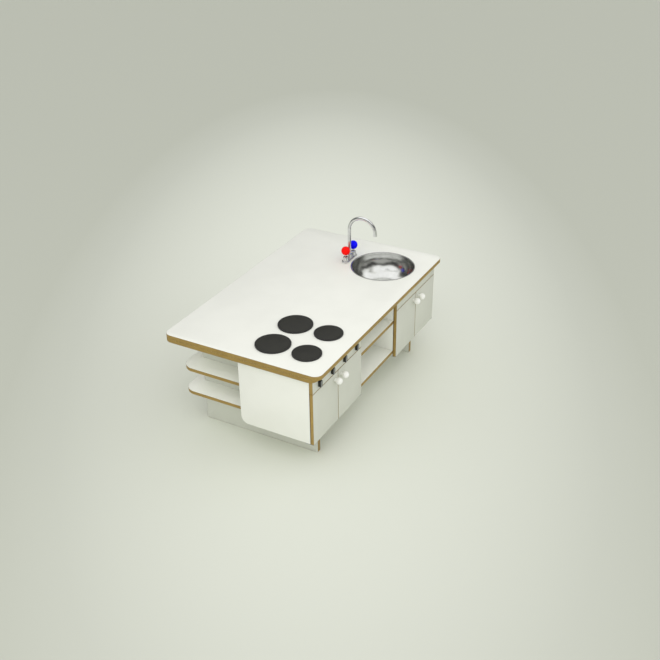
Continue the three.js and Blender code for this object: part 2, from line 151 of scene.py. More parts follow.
def bands_per_metre(period_mm: float) -> float:
    """Scale of a wave texture whose bands repeat every period_mm."""
    return math.tau / (20 * period_mm * MM)


def flat_about(centre: Sequence[float]) -> dict[str | int, object]:
    """Values of a Mapping that keeps only the distance from a standing axis."""
    return {"Location": (-centre[0], -centre[1], 0), "Scale": (1, 1, 0)}


@dataclass(frozen=True)
class Finish:
    """One real surface, built as a material the first time it is asked for."""

    name: str
    light: str = "FFFFFF"
    dark: str = "F0F0F0"
    # Lowest and highest roughness.
    rough: tuple[float, float] = (0.4, 0.5)
    # Strength of the relief and its depth in millimetres.
    relief: tuple[float, float] = (0.2, 0.03)

    def material(self) -> bpy.types.Material:
        """Gives the finished material, made once.

        Returns:
            The material.
        """
        found = bpy.data.materials.get(self.name)
        if found:
            return found
        made = bpy.data.materials.new(self.name)
        made.use_nodes = True
        made.node_tree.nodes.clear()
        shader = self.shader(made.node_tree)
        add_node(made.node_tree, "ShaderNodeOutputMaterial", links={"Surface": shader.outputs[0]})
        return made

    def shader(self, tree: bpy.types.NodeTree) -> bpy.types.Node:
        """Builds the pattern and the shader that it feeds. Each finish has its own."""
        raise NotImplementedError

    def shades(self) -> Stops:
        """Colours along the pattern, which stays near its middle."""
        return (0.35, self.dark), (0.65, self.light)

    def coat(
        self,
        tree: bpy.types.NodeTree,
        tone: bpy.types.NodeSocket,
        touch: bpy.types.NodeSocket,
        height: bpy.types.NodeSocket,
        values: dict[str | int, object],
    ) -> bpy.types.Node:
        """Makes colour, roughness and relief from patterns, and the shader that they feed.

        Args:
            tree: The material's node tree.
            tone: The pattern of the colour.
            touch: The pattern of the roughness.
            height: The pattern of the relief.
            values: Constants on the shader's own sockets.

        Returns:
            The shader.
        """
        colour = add_node(tree, "ShaderNodeValToRGB", links={0: tone}, stops=self.shades())
        polish = add_node(
            tree,
            "ShaderNodeMapRange",
            values={"From Min": 0.3, "From Max": 0.7, "To Min": self.rough[0], "To Max": self.rough[1]},
            links={"Value": touch},
        )
        skin = add_node(
            tree,
            "ShaderNodeBump",
            values={"Strength": self.relief[0], "Distance": self.relief[1] * MM},
            links={"Height": height},
        )
        return add_node(
            tree,
            "ShaderNodeBsdfPrincipled",
            values=values,
            links={
                "Base Color": colour.outputs[0],
                "Roughness": polish.outputs[0],
                "Normal": skin.outputs[0],
            },
        )


@dataclass(frozen=True)
class Laminate(Finish):
    """High-pressure laminate pressed on plywood: even colour, a faint pebbled skin and a soft sheen."""

    light: str = "F1F2E9"
    dark: str = "EEEFE6"
    rough: tuple[float, float] = (0.42, 0.46)
    relief: tuple[float, float] = (0.25, 0.03)
    drift_mm: float = 140.0
    rubbed_mm: float = 45.0
    # The real pebble is about 0.4 mm across; it is drawn at 1.5 mm so that it shows.
    pebble_mm: float = 1.5

    def shader(self, tree: bpy.types.NodeTree) -> bpy.types.Node:
        """Even colour that drifts slightly, hand-polished gloss and a pebbled skin.

        Args:
            tree: The material's node tree.

        Returns:
            The shader.
        """
        where = add_node(tree, "ShaderNodeTexCoord").outputs["Object"]
        drift, rubbed, pebble = (
            add_node(
                tree,
                "ShaderNodeTexNoise",
                values={"Scale": cells_per_metre(size), "Detail": detail},
                links={"Vector": where},
            ).outputs[0]
            for size, detail in ((self.drift_mm, 2.0), (self.rubbed_mm, 3.0), (self.pebble_mm, 2.0))
        )
        return self.coat(tree, drift, rubbed, pebble, {"IOR": 1.5})


@dataclass(frozen=True)
class PlywoodEdge(Finish):
    """Varnished cut edge of birch plywood: thin veneers in turn along and across the grain."""

    rough: tuple[float, float] = (0.45, 0.62)
    relief: tuple[float, float] = (0.35, 0.12)
    middle: str = "A88B49"
    axis: Axis = Axis.Z
    # A real veneer is about 1.4 mm; a pair is drawn 4.6 mm thick so that the layers show.
    pair_mm: float = 4.6
    wander_mm: float = 60.0
    streak_mm: float = 22.0
    # How many times longer a streak is along the edge than through the thickness.
    streak_stretch: float = 14.0

    def shades(self) -> Stops:
        """Dark, middle and light veneers."""
        return (0.25, self.dark), (0.5, self.middle), (0.75, self.light)

    def shader(self, tree: bpy.types.NodeTree) -> bpy.types.Node:
        """Layers through the thickness, broken by streaks that run along the edge.

        Args:
            tree: The material's node tree.

        Returns:
            The shader.
        """
        where = add_node(tree, "ShaderNodeTexCoord").outputs["Object"]
        squeeze = [self.streak_stretch if axis is self.axis else 1.0 for axis in Axis]
        along = add_node(
            tree, "ShaderNodeMapping", values={"Scale": squeeze}, links={"Vector": where}
        ).outputs[0]
        wander = add_node(
            tree,
            "ShaderNodeTexNoise",
            values={"Scale": cells_per_metre(self.wander_mm)},
            links={"Vector": where},
        ).outputs[0]
        streaks = add_node(
            tree,
            "ShaderNodeTexNoise",
            values={"Scale": cells_per_metre(self.streak_mm), "Detail": 4.0},
            links={"Vector": along},
        ).outputs[0]
        shade = add_node(
            tree,
            "ShaderNodeTexWave",
            settings={"wave_type": "BANDS", "bands_direction": self.axis.name, "wave_profile": "SIN"},
            values={
                "Scale": bands_per_metre(self.pair_mm),
                "Distortion": 1.2,
                "Detail": 1.0,
                "Detail Scale": 2.0,
            },
            links={"Vector": where},
        ).outputs["Fac"]
        for share, other in ((0.55, streaks), (0.25, wander)):
            shade = add_node(
                tree,
                "ShaderNodeMix",
                settings={"data_type": "FLOAT"},
                values={"Factor": share},
                links={2: shade, 3: other},
            ).outputs[0]
        return self.coat(tree, shade, streaks, shade, {"IOR": 1.48})


@dataclass(frozen=True)
class Moulded(Finish):
    """Injection-moulded plastic or sprayed lacquer: even colour, slight waviness, a clear gloss."""

    relief: tuple[float, float] = (0.2, 0.05)
    specular: float = 0.5
    wave_mm: float = 18.0
    touch_mm: float = 7.0

    def shader(self, tree: bpy.types.NodeTree) -> bpy.types.Node:
        """Nearly even colour, with gloss that varies where hands touch it.

        Args:
            tree: The material's node tree.

        Returns:
            The shader.
        """
        where = add_node(tree, "ShaderNodeTexCoord").outputs["Object"]
        soft, touched = (
            add_node(
                tree,
                "ShaderNodeTexNoise",
                values={"Scale": cells_per_metre(size), "Detail": detail},
                links={"Vector": where},
            ).outputs[0]
            for size, detail in ((self.wave_mm, 2.0), (self.touch_mm, 3.0))
        )
        values = {"IOR": 1.5, "Specular IOR Level": self.specular}
        return self.coat(tree, soft, touched, soft, values)


@dataclass(frozen=True)
class TurnedDisc(Finish):
    """Painted disc faced on a lathe: fine rings about its centre under matt paint."""

    light: str = "2C2C26"
    dark: str = "23231E"
    rough: tuple[float, float] = (0.5, 0.62)
    relief: tuple[float, float] = (0.3, 0.04)
    centre: tuple[float, float, float] = (0, 0, 0)
    cloud_mm: float = 26.0
    # Tool marks are about 0.3 mm apart; they are drawn 2.5 mm apart so that they show.
    ring_mm: float = 2.5

    def shader(self, tree: bpy.types.NodeTree) -> bpy.types.Node:
        """Rings from the distance to the centre, over a cloudy matt paint.

        Args:
            tree: The material's node tree.

        Returns:
            The shader.
        """
        where = add_node(tree, "ShaderNodeTexCoord").outputs["Object"]
        radius = add_node(
            tree, "ShaderNodeMapping", values=flat_about(self.centre), links={"Vector": where}
        ).outputs[0]
        rings = add_node(
            tree,
            "ShaderNodeTexWave",
            settings={"wave_type": "RINGS", "rings_direction": "Z", "wave_profile": "SIN"},
            values={"Scale": bands_per_metre(self.ring_mm), "Distortion": 0.4, "Detail": 1.0},
            links={"Vector": radius},
        ).outputs["Fac"]
        cloud = add_node(
            tree,
            "ShaderNodeTexNoise",
            values={"Scale": cells_per_metre(self.cloud_mm), "Detail": 3.0},
            links={"Vector": where},
        ).outputs[0]
        return self.coat(tree, cloud, cloud, rings, {"IOR": 1.5, "Specular IOR Level": 0.3})


@dataclass(frozen=True)
class SpunSteel(Finish):
    """Stainless steel spun on a former and polished: mirror-like with faint rings and soft smears."""

    light: str = "D6D7D4"
    dark: str = "CECFCC"
    rough: tuple[float, float] = (0.16, 0.2)
    relief: tuple[float, float] = (0.12, 0.02)
    centre: tuple[float, float, float] = (0, 0, 0)
    smear_mm: float = 38.0
    ring_mm: float = 1.6

    def shader(self, tree: bpy.types.NodeTree) -> bpy.types.Node:
        """Polishing rings from a one-way noise on the radius, and smears across them.

        Args:
            tree: The material's node tree.

        Returns:
            The shader.
        """
        where = add_node(tree, "ShaderNodeTexCoord").outputs["Object"]
        flat = add_node(
            tree, "ShaderNodeMapping", values=flat_about(self.centre), links={"Vector": where}
        ).outputs[0]
        radius = add_node(
            tree, "ShaderNodeVectorMath", settings={"operation": "LENGTH"}, links={0: flat}
        ).outputs["Value"]
        rings = add_node(
            tree,
            "ShaderNodeTexNoise",
            settings={"noise_dimensions": "1D"},
            values={"Scale": cells_per_metre(self.ring_mm), "Detail": 3.0},
            links={"W": radius},
        ).outputs[0]
        smear = add_node(
            tree,
            "ShaderNodeTexNoise",
            values={"Scale": cells_per_metre(self.smear_mm)},
            links={"Vector": where},
        ).outputs[0]
        return self.coat(tree, smear, smear, rings, {"Metallic": 1.0})


@dataclass(frozen=True)
class Plated(Finish):
    """Plated or anodised metal: a hard reflection, dulled a little where it is touched."""

    light: str = "E2E3E3"
    dark: str = "D6D7D8"
    rough: tuple[float, float] = (0.05, 0.1)
    relief: tuple[float, float] = (0.1, 0.01)
    wipe_mm: float = 12.0
    wave_mm: float = 5.0

    def shader(self, tree: bpy.types.NodeTree) -> bpy.types.Node:
        """A clean metal with a trace of waviness from the polishing wheel.

        Args:
            tree: The material's node tree.

        Returns:
            The shader.
        """
        where = add_node(tree, "ShaderNodeTexCoord").outputs["Object"]
        wipe, wave = (
            add_node(
                tree,
                "ShaderNodeTexNoise",
                values={"Scale": cells_per_metre(size)},
                links={"Vector": where},
            ).outputs[0]
            for size in (self.wipe_mm, self.wave_mm)
        )
        return self.coat(tree, wipe, wipe, wave, {"Metallic": 1.0})


# Melamine-faced laminate, pressed: a clean warm white with a soft, wide sheen.
WHITE_LAMINATE = Laminate("white_laminate")
# The same laminate made one step greyer for the doors and fascias: painted shade, since the fronts face away
# from the light and read darker than the carcass.
FRONT_LAMINATE_IN_PAINTED_SHADE = Laminate("front_laminate_painted_shade", "D1D3C7", "CDCFC3", (0.46, 0.52))
# Light grey laminate, pressed: the legs sit back in shade under the white boards.
GREY_LAMINATE = Laminate("grey_laminate", "D0D2C6", "CCCEC2", (0.46, 0.52))
# The brown paper core under the decor sheet, bared as a thin line where the arris is eased; drawn darker
# than the real core as painted shade, so that the seams between the fronts read dark.
LAMINATE_CORE_AND_SEAM_SHADE = Laminate("phenolic_laminate_core_and_seam_shade", "5A4B34", "4E412C", (0.5, 0.6))
# Birch plywood, sawn and varnished: honey-brown stripes, the darker veneers showing end grain. Each
# thickness axis has its own copy, lighter or darker as painted shade, since the edges of each kind of board
# face the light differently.
PLY_EDGES_SHADED_BY_AXIS = {
    axis: PlywoodEdge(f"birch_plywood_edge_painted_shade_{axis.name.lower()}", light, dark, middle=middle, axis=axis)
    for axis, light, middle, dark in (
        (Axis.X, "AE924F", "987C3F", "765C2B"),
        (Axis.Y, "BDA05A", "A88B49", "866B34"),
        (Axis.Z, "B49852", "9F8342", "7E642F"),
    )
}
# Beech, turned and sprayed with lacquer: a bright white ball with a small soft highlight.
WHITE_LACQUER = Moulded("white_lacquered_beech", "FBFBF7", "F7F7F1", (0.22, 0.32))
# ABS, injection moulded: a deep black body with a crisp edge highlight.
BLACK_ABS = Moulded("black_abs", "0E0E0D", "090909", (0.2, 0.3))
# Acrylic, moulded and smoked: a small dark lens, glossier than what it sits in.
SMOKED_LENS = Moulded("smoked_acrylic_lens", "1B1A18", "131211", (0.08, 0.14))
# ABS, injection moulded: saturated primary colours with little veil of gloss over them.
RED_ABS = Moulded("red_abs", "FF120A", "FA0E08", (0.3, 0.4), specular=0.1)
BLUE_ABS = Moulded("blue_abs", "0202FF", "0101F6", (0.3, 0.4), specular=0.1)
# Enamel, sprayed on the hotplate rims: black with a satin edge that draws a thin light line.
RIM_PAINT = Moulded("black_satin_enamel", "11110F", "0B0B0A", (0.3, 0.42))
# Chrome on brass, plated and buffed: hard light and dark bands along every tube.
CHROME = Plated("chrome_plated_brass")
# Aluminium, brushed and anodised grey: a calm mid-grey plate on each black knob.
GREY_ALUMINIUM = Plated("grey_anodised_aluminium", "96989A", "8A8C8F", (0.34, 0.42))
# Steel, zinc plated: a dull silver on the hinge rods, plates and spindles.
ZINC = Plated("bright_zinc_plated_steel", "C3C6C8", "B2B5B8", (0.28, 0.4))


# ---------------------------------------------------------------- modelling helpers


def deselect() -> None:
    """Leaves nothing selected."""
    bpy.ops.object.select_all(action="DESELECT")


def activate(obj: bpy.types.Object) -> None:
    """Makes one object the only selected and the active one.

    Args:
        obj: The object.
    """
    deselect()
    obj.select_set(True)
    bpy.context.view_layer.objects.active = obj


@contextmanager
def editing(obj: bpy.types.Object) -> Iterator[bpy.types.Object]:
    """Edit mode on one object, with everything deselected at the start.

    Args:
        obj: The object.

    Yields:
        The same object, in edit mode.
    """
    activate(obj)
    bpy.ops.object.mode_set(mode="EDIT")
    bpy.ops.mesh.select_all(action="DESELECT")
    yield obj
    bpy.ops.object.mode_set(mode="OBJECT")


def pick_edges(obj: bpy.types.Object, rule: Callable[[Vector, Vector], bool]) -> None:
    """Selects the edges that pass a rule.

    Args:
        obj: The object, in edit mode.
        rule: Tells from the places of an edge's two ends whether it is picked.
    """
    bpy.ops.mesh.select_mode(type="EDGE")
    mesh = bmesh.from_edit_mesh(obj.data)
    for edge in mesh.edges:
        edge.select_set(rule(edge.verts[0].co, edge.verts[1].co))
    bmesh.update_edit_mesh(obj.data)


def settle(obj: bpy.types.Object) -> None:
    """Moves the object's place into its mesh."""
    activate(obj)
    bpy.ops.object.transform_apply(location=True, rotation=True, scale=True)


def apply_modifier(obj: bpy.types.Object, kind: str, **settings: object) -> None:
    """Adds one modifier with its settings and applies it.

    Args:
        obj: The piece.
        kind: The modifier's type name.
        **settings: Properties of the modifier.
    """
    activate(obj)
    made = obj.modifiers.new(kind.lower(), kind)
    for key, value in settings.items():
        setattr(made, key, value)
    bpy.ops.object.modifier_apply(modifier=made.name)


def ease(obj: bpy.types.Object, width_mm: float, segments: int = 2, angle: float = 40.0) -> None:
    """Rounds the sharp edges of a finished shape by a bevel modifier.

    Args:
        obj: The piece.
        width_mm: Width of the rounding.
        segments: Steps across it.
        angle: Edges sharper than this are rounded, in degrees.
    """
    apply_modifier(
        obj,
        "BEVEL",
        width=width_mm * MM,
        segments=segments,
        limit_method="ANGLE",
        angle_limit=math.radians(angle),
        harden_normals=False,
    )


def smooth(obj: bpy.types.Object, angle: float = 32.0) -> None:
    """Shades the object smooth across edges flatter than angle degrees."""
    activate(obj)
    bpy.ops.object.shade_smooth_by_angle(angle=math.radians(angle))


def block(lo: Sequence[float], hi: Sequence[float]) -> bpy.types.Object:
    """Adds a block between two corners.

    Args:
        lo: Lowest corner, in metres.
        hi: Highest corner, in metres.

    Returns:
        The new object.
    """
    deselect()
    centre = [(a + b) / 2 for a, b in zip(lo, hi)]
    bpy.ops.mesh.primitive_cube_add(size=1, location=centre, scale=[b - a for a, b in zip(lo, hi)])
    made = bpy.context.object
    settle(made)
    return made


def rod(centre: Vector, radius: float, depth: float, axis: Axis, steps: int = 32) -> bpy.types.Object:
    """Adds a round rod, used to cut a hole.

    Args:
        centre: Middle of the rod.
        radius: Radius in metres.
        depth: Length in metres.
        axis: The axis it lies along.
        steps: Sides of the circle.

    Returns:
        The new object.
    """
    deselect()
    turn = {Axis.X: (0, math.pi / 2, 0), Axis.Y: (math.pi / 2, 0, 0), Axis.Z: (0, 0, 0)}[axis]
    bpy.ops.mesh.primitive_cylinder_add(
        vertices=steps, radius=radius, depth=depth, location=centre, rotation=turn
    )
    made = bpy.context.object
    settle(made)
    return made


def bore(node: str, length: float) -> bpy.types.Object:
    """Adds the upright rod that cuts a bore for a CAD node's pin.

    Args:
        node: CAD node of the pin.
        length: Length of the rod in metres.

    Returns:
        The rod.
    """
    lo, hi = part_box(node)
    return rod(middle(node), (hi.x - lo.x) / 2 + RUNNING, length, Axis.Z)


def join_solid(obj: bpy.types.Object, other: bpy.types.Object, operation: str) -> None:
    """Cuts other from obj, or unites them, and removes other."""
    apply_modifier(obj, "BOOLEAN", operation=operation, object=other, solver="EXACT")
    bpy.data.objects.remove(other, do_unlink=True)


def turned(profile: Sequence[Point], centre: Vector, axis: Axis, steps: int = 64) -> bpy.types.Object:
    """Spins a profile about a vertical axis, or about one that points out of the front.

    Args:
        profile: Radius and height of each point in millimetres, from the axis to the axis.
        centre: The point that height zero stands on.
        axis: Z for a standing piece, Y for one that points towards -Y.
        steps: Sides of the full turn.

    Returns:
        The new object, closed and with its faces outwards.
    """
    deselect()

    def at(point: Point) -> Vector:
        """Place of one profile point."""
        radius, height = point[0] * MM, point[1] * MM
        return centre + Vector((radius, 0, height) if axis is Axis.Z else (radius, -height, 0))

    bpy.ops.mesh.primitive_plane_add(size=MM, location=at(profile[0]))
    made = bpy.context.object
    settle(made)
    with editing(made):
        bpy.ops.mesh.select_mode(type="VERT")
        bpy.ops.mesh.select_all(action="SELECT")
        bpy.ops.mesh.merge(type="CENTER")
        bpy.ops.mesh.select_all(action="SELECT")
        for before, after in zip(profile, profile[1:]):
            bpy.ops.mesh.extrude_region_move(TRANSFORM_OT_translate={"value": at(after) - at(before)})
        bpy.ops.mesh.select_all(action="SELECT")
        spin_axis = (0, 0, 1) if axis is Axis.Z else (0, 1, 0)
        bpy.ops.mesh.spin(steps=steps, angle=math.tau, center=centre, axis=spin_axis)
        bpy.ops.mesh.select_all(action="SELECT")
        bpy.ops.mesh.remove_doubles(threshold=0.01 * MM)
        bpy.ops.mesh.normals_make_consistent(inside=False)
    return made


def arc(centre: Point, radius: float, start: float, end: float, steps: int) -> list[Point]:
    """Points along an arc of a profile.

    Args:
        centre: Radius and height of the arc's centre, in millimetres.
        radius: Radius of the arc.
        start: First angle in degrees.
        end: Last angle in degrees.
        steps: Number of steps.

    Returns:
        The points, both ends included.
    """
    angles = [math.radians(start + (end - start) * i / steps) for i in range(steps + 1)]
    return [
        (max(centre[0] + radius * math.cos(a), 0.0), centre[1] + radius * math.sin(a)) for a in angles
    ]


def middle(node: str) -> Vector:
    """Centre of a CAD node's box."""
    lo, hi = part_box(node)
    return (lo + hi) / 2


def foot(node: str) -> Vector:
    """Centre of the underside of a CAD node's box."""
    lo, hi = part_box(node)
    return Vector(((lo.x + hi.x) / 2, (lo.y + hi.y) / 2, lo.z))


def back(node: str) -> Vector:
    """Centre of the rear face of a CAD node's box."""
    lo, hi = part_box(node)
    return Vector(((lo.x + hi.x) / 2, hi.y, (lo.z + hi.z) / 2))


def hand_over(
    obj: bpy.types.Object, name: str, node: str, finishes: Sequence[Finish] = ()
) -> bpy.types.Object:
    """Names and dresses a piece, and lets it stand for its CAD node.

    Args:
        obj: The finished shape.
        name: The piece's name.
        node: The CAD node that it stands for.
        finishes: Its materials, in slot order; none keeps those it has.

    Returns:
        The piece.
    """
    obj.name = name
    obj.data.name = name
    if finishes:
        obj.data.materials.clear()
        for finish in finishes:
            obj.data.materials.append(finish.material())
    body = frame["nodes"][node]["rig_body"]
    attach(obj, body)
    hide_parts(node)
    LOG.info("%s rides on %s", name, body)
    return obj


def trim(obj: bpy.types.Object, name: str, body: str, finish: Finish) -> bpy.types.Object:
    """Names and dresses a small piece that has no CAD node of its own.

    Args:
        obj: The finished shape.
        name: The piece's name.
        body: The body that carries it.
        finish: Its material.

    Returns:
        The piece.
    """
    obj.name = name
    obj.data.name = name
    obj.data.materials.clear()
    obj.data.materials.append(finish.material())
    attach(obj, body)
    LOG.info("%s rides on %s", name, body)
    return obj


def copied(obj: bpy.types.Object, offset: Vector) -> bpy.types.Object:
    """Copies a shape with a mesh of its own.

    Args:
        obj: The shape.
        offset: How far the copy lies from it.

    Returns:
        The copy.
    """
    made = bpy.data.objects.new(obj.name, obj.data.copy())
    bpy.context.scene.collection.objects.link(made)
    made.data.transform(Matrix.Translation(offset))
    return made


# ---------------------------------------------------------------- boards


@dataclass
class Board:
    """A laminated plywood board, modelled once and copied for each node of the same shape.

    The corners are the radii in millimetres by corner, lowest or highest along each in-plane axis.
    """

    nodes: tuple[str, ...]
    axis: Axis
    face: Finish = WHITE_LAMINATE
    corners: dict[tuple[int, int], float] = field(default_factory=dict)
    arris_mm: float = 0.6
    steps: int = 16

    def model(self) -> bpy.types.Object:
        """Shapes the first board: block, rounded corners, eased arrises.

        Returns:
            The board, before anything is cut from it.
        """
        lo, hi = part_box(self.nodes[0])
        made = block(lo, hi)
        across = [i for i in range(3) if i != self.axis.value]
        for (side_a, side_b), radius in self.corners.items():
            spot = [(lo, hi)[side][i] for side, i in zip((side_a, side_b), across)]

            def at_corner(a: Vector, b: Vector) -> bool:
                """True for the edge that stands on this corner."""
                return all(abs(end[i] - s) < TOUCH for end in (a, b) for i, s in zip(across, spot))

            with editing(made):
                pick_edges(made, at_corner)
                bpy.ops.mesh.bevel(offset=radius * MM, segments=self.steps, affect="EDGES")
        ease(made, self.arris_mm)
        return made

    def cutters(self) -> list[bpy.types.Object]:
        """What is cut from the first board."""
        return []

    def dress(self, obj: bpy.types.Object) -> None:
        """Gives the two faces their laminate, every edge its plies in its axis's painted shade, and each
        arris the darkened laminate core.

        Args:
            obj: The board.
        """
        obj.data.materials.clear()
        for finish in (self.face, PLY_EDGES_SHADED_BY_AXIS[self.axis], LAMINATE_CORE_AND_SEAM_SHADE):
            obj.data.materials.append(finish.material())
        face, ply, core = range(3)
        for polygon in obj.data.polygons:
            square = abs(polygon.normal[self.axis.value])
            polygon.material_index = face if square > 0.95 else core if square > 0.5 else ply

    def build(self) -> list[bpy.types.Object]:
        """Makes every board of this shape.

        Returns:
            The pieces.
        """
        first = self.model()
        for cutter in self.cutters():
            join_solid(first, cutter, "DIFFERENCE")
        self.dress(first)
        smooth(first)
        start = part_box(self.nodes[0])[0]
        rest = [copied(first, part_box(node)[0] - start) for node in self.nodes[1:]]
        return [
            hand_over(obj, f"{node}_board", node) for obj, node in zip([first, *rest], self.nodes)
        ]


@dataclass
class TopBoard(Board):
    """A board of the worktop, with the cut-out for the sink."""

    rim_lap_mm: float = 3.4

    def cutters(self) -> list[bpy.types.Object]:
        """The round cut-out under the sink's lip.

        Returns:
            One upright rod.
        """
        lo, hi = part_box("sink_bowl")
        radius = (hi.x - lo.x) / 2 - self.rim_lap_mm * MM
        return [rod(middle("sink_bowl"), radius, THROUGH, Axis.Z, 96)]


def shelf_lap() -> float:
    """Where the shelves' slots meet the legs' slots, half-way into the leg."""
    return (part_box("rear_shelf_upper")[0].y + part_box("leg_panel_hob_end")[1].y) / 2


@dataclass
class LegPanel(Board):
    """A full-depth leg, notched for the cabinet and slotted for the rear shelves."""

    def cutters(self) -> list[bpy.types.Object]:
        """The notch under the cabinet and one slot for each shelf.

        Returns:
            Three blocks.
        """
        lo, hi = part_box(self.nodes[0])
        left, right = lo.x - SPARE, hi.x + SPARE
        notch_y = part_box("hob_back")[1].y + FIT
        notch_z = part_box("hob_bottom")[0].z - FIT
        made = [block((left, lo.y - SPARE, notch_z), (right, notch_y, hi.z + SPARE))]
        for shelf in ("rear_shelf_upper", "rear_shelf_lower"):
            low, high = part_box(shelf)
            made.append(
                block((left, shelf_lap() - FIT, low.z - FIT), (right, hi.y + SPARE, high.z + FIT))
            )
        return made


@dataclass
class RearShelf(Board):
    """A long shelf behind the cabinets, slotted over both legs."""

    def cutters(self) -> list[bpy.types.Object]:
        """A slot from the front over each leg.

        Returns:
            Two blocks.
        """
        lo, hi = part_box(self.nodes[0])
        made = []
        for leg in ("leg_panel_hob_end", "leg_panel_sink_end"):
            low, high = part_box(leg)
            made.append(
                block((low.x - FIT, lo.y - SPARE, lo.z - SPARE), (high.x + FIT, shelf_lap(), hi.z + SPARE))
            )
        return made


@dataclass
class Fascia(Board):
    """The strip over a pair of doors, bored for the hinge rods and any spindles."""

    cabinet: str = "hob"
    spindle_mm: float = 3.0

    def cutters(self) -> list[bpy.types.Object]:
        """A bore for each hinge rod, and for each control spindle in the hob's fascia.

        Returns:
            The rods that cut them.
        """
        made = []
        for hand in ("left", "right"):
            node = f"{self.cabinet}_hinge_rod_{hand}"
            low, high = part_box(node)
            made.append(bore(node, high.z - low.z + 2 * FIT))
        if self.cabinet == "hob":
            radius = self.spindle_mm * MM + RUNNING
            for i in range(1, 5):
                made.append(rod(middle(f"control_spindle_{i}"), radius, THROUGH, Axis.Y))
        return made


@dataclass
class Door(Board):
    """A door, rounded at its hinge corner and bored from end to end for its hinge rod."""

    hinge_corner_mm: float = 4.5

    def rod_node(self) -> str:
        """CAD node of the first door's hinge rod."""
        return self.nodes[0].replace("door", "hinge_rod")

    def model(self) -> bpy.types.Object:
        """Shapes the first door: a block with its rear hinge corner rounded and its arrises eased.

        Returns:
            The door, before it is bored.
        """
        lo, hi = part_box(self.nodes[0])
        made = block(lo, hi)
        pivot = middle(self.rod_node()).x
        side = min((lo.x, hi.x), key=lambda x: abs(x - pivot))
        with editing(made):
            pick_edges(made, lambda *ends: all(abs(p.x - side) + abs(p.y - hi.y) < TOUCH for p in ends))
            bpy.ops.mesh.bevel(offset=self.hinge_corner_mm * MM, segments=8, affect="EDGES")
        ease(made, self.arris_mm)
        return made

    def cutters(self) -> list[bpy.types.Object]:
        """The bore for the hinge rod."""
        return [bore(self.rod_node(), THROUGH)]


def boards() -> list[Board]:
    """Every board of the kitchen, by shape.

    Returns:
        The boards, from the worktop down.
    """
    all_round = {(a, b): 35.0 for a in (0, 1) for b in (0, 1)}
    rear_round = {(0, 1): 55.0, (1, 1): 55.0}
    return [
        TopBoard(("worktop",), Axis.Z, corners=all_round, steps=20),
        TopBoard(("worktop_under_board",), Axis.Z, corners=all_round, steps=20),
        LegPanel(
            ("leg_panel_hob_end", "leg_panel_sink_end"),
            Axis.X,
            face=GREY_LAMINATE,
            corners={(0, 0): 5.0, (1, 0): 5.0},
            steps=6,
        ),
        RearShelf(("rear_shelf_upper", "rear_shelf_lower"), Axis.Z, corners=rear_round, steps=24),
        Board(
            ("hob_side_outer", "hob_side_inner", "sink_side_inner", "sink_side_outer"),
            Axis.X,
            corners={(1, 0): 35.0},
        ),
        Board(("hob_bottom", "sink_bottom"), Axis.Z),
        Board(("bay_bottom",), Axis.Z),
        Board(("hob_back", "sink_back"), Axis.Y, arris_mm=0.3),
        Board(("bay_back",), Axis.Y, arris_mm=0.3),
        Board(("bay_shelf",), Axis.Z),
        # Fronts: their greyer laminate is painted shade, and their wider arris bares more of the darkened
        # core along the seams as a painted seam shade.
        *(
            Fascia((f"{cabinet}_fascia",), Axis.Y, FRONT_LAMINATE_IN_PAINTED_SHADE, arris_mm=0.9, cabinet=cabinet)
            for cabinet in ("hob", "sink")
        ),
        *(
            Door((f"hob_door_{hand}", f"sink_door_{hand}"), Axis.Y, FRONT_LAMINATE_IN_PAINTED_SHADE, arris_mm=0.9)
            for hand in ("left", "right")
        ),
    ]


# ---------------------------------------------------------------- knobs, hotplates, sink and tap


@dataclass
class DoorKnobs:
    """White ball knobs on the doors, each a ball that runs into a short neck."""

    radius_mm: float = 15.0
    neck_mm: float = 7.0
    throat_mm: float = 8.2
    centre_mm: float = 19.5

    def build(self) -> None:
        """Turns one knob and copies it to each door."""
        nodes = [f"{c}_door_knob_{h}" for c in ("hob", "sink") for h in ("left", "right")]
        start = -math.degrees(math.acos(self.throat_mm / self.radius_mm))
        ball = arc((0, self.centre_mm), self.radius_mm, start, 90, 26)
        reach = ball[0][1]
        profile = [
            (0, 0),
            (self.neck_mm, 0),
            (self.neck_mm, reach * 0.5),
            (self.neck_mm + 0.3, reach * 0.8),
            *ball,
        ]
        first = turned(profile, back(nodes[0]), Axis.Y, 48)
        smooth(first, 50)
        rest = [copied(first, back(node) - back(nodes[0])) for node in nodes[1:]]
        for obj, node in zip([first, *rest], nodes):
            hand_over(obj, f"{node}_ball", node, [WHITE_LACQUER])


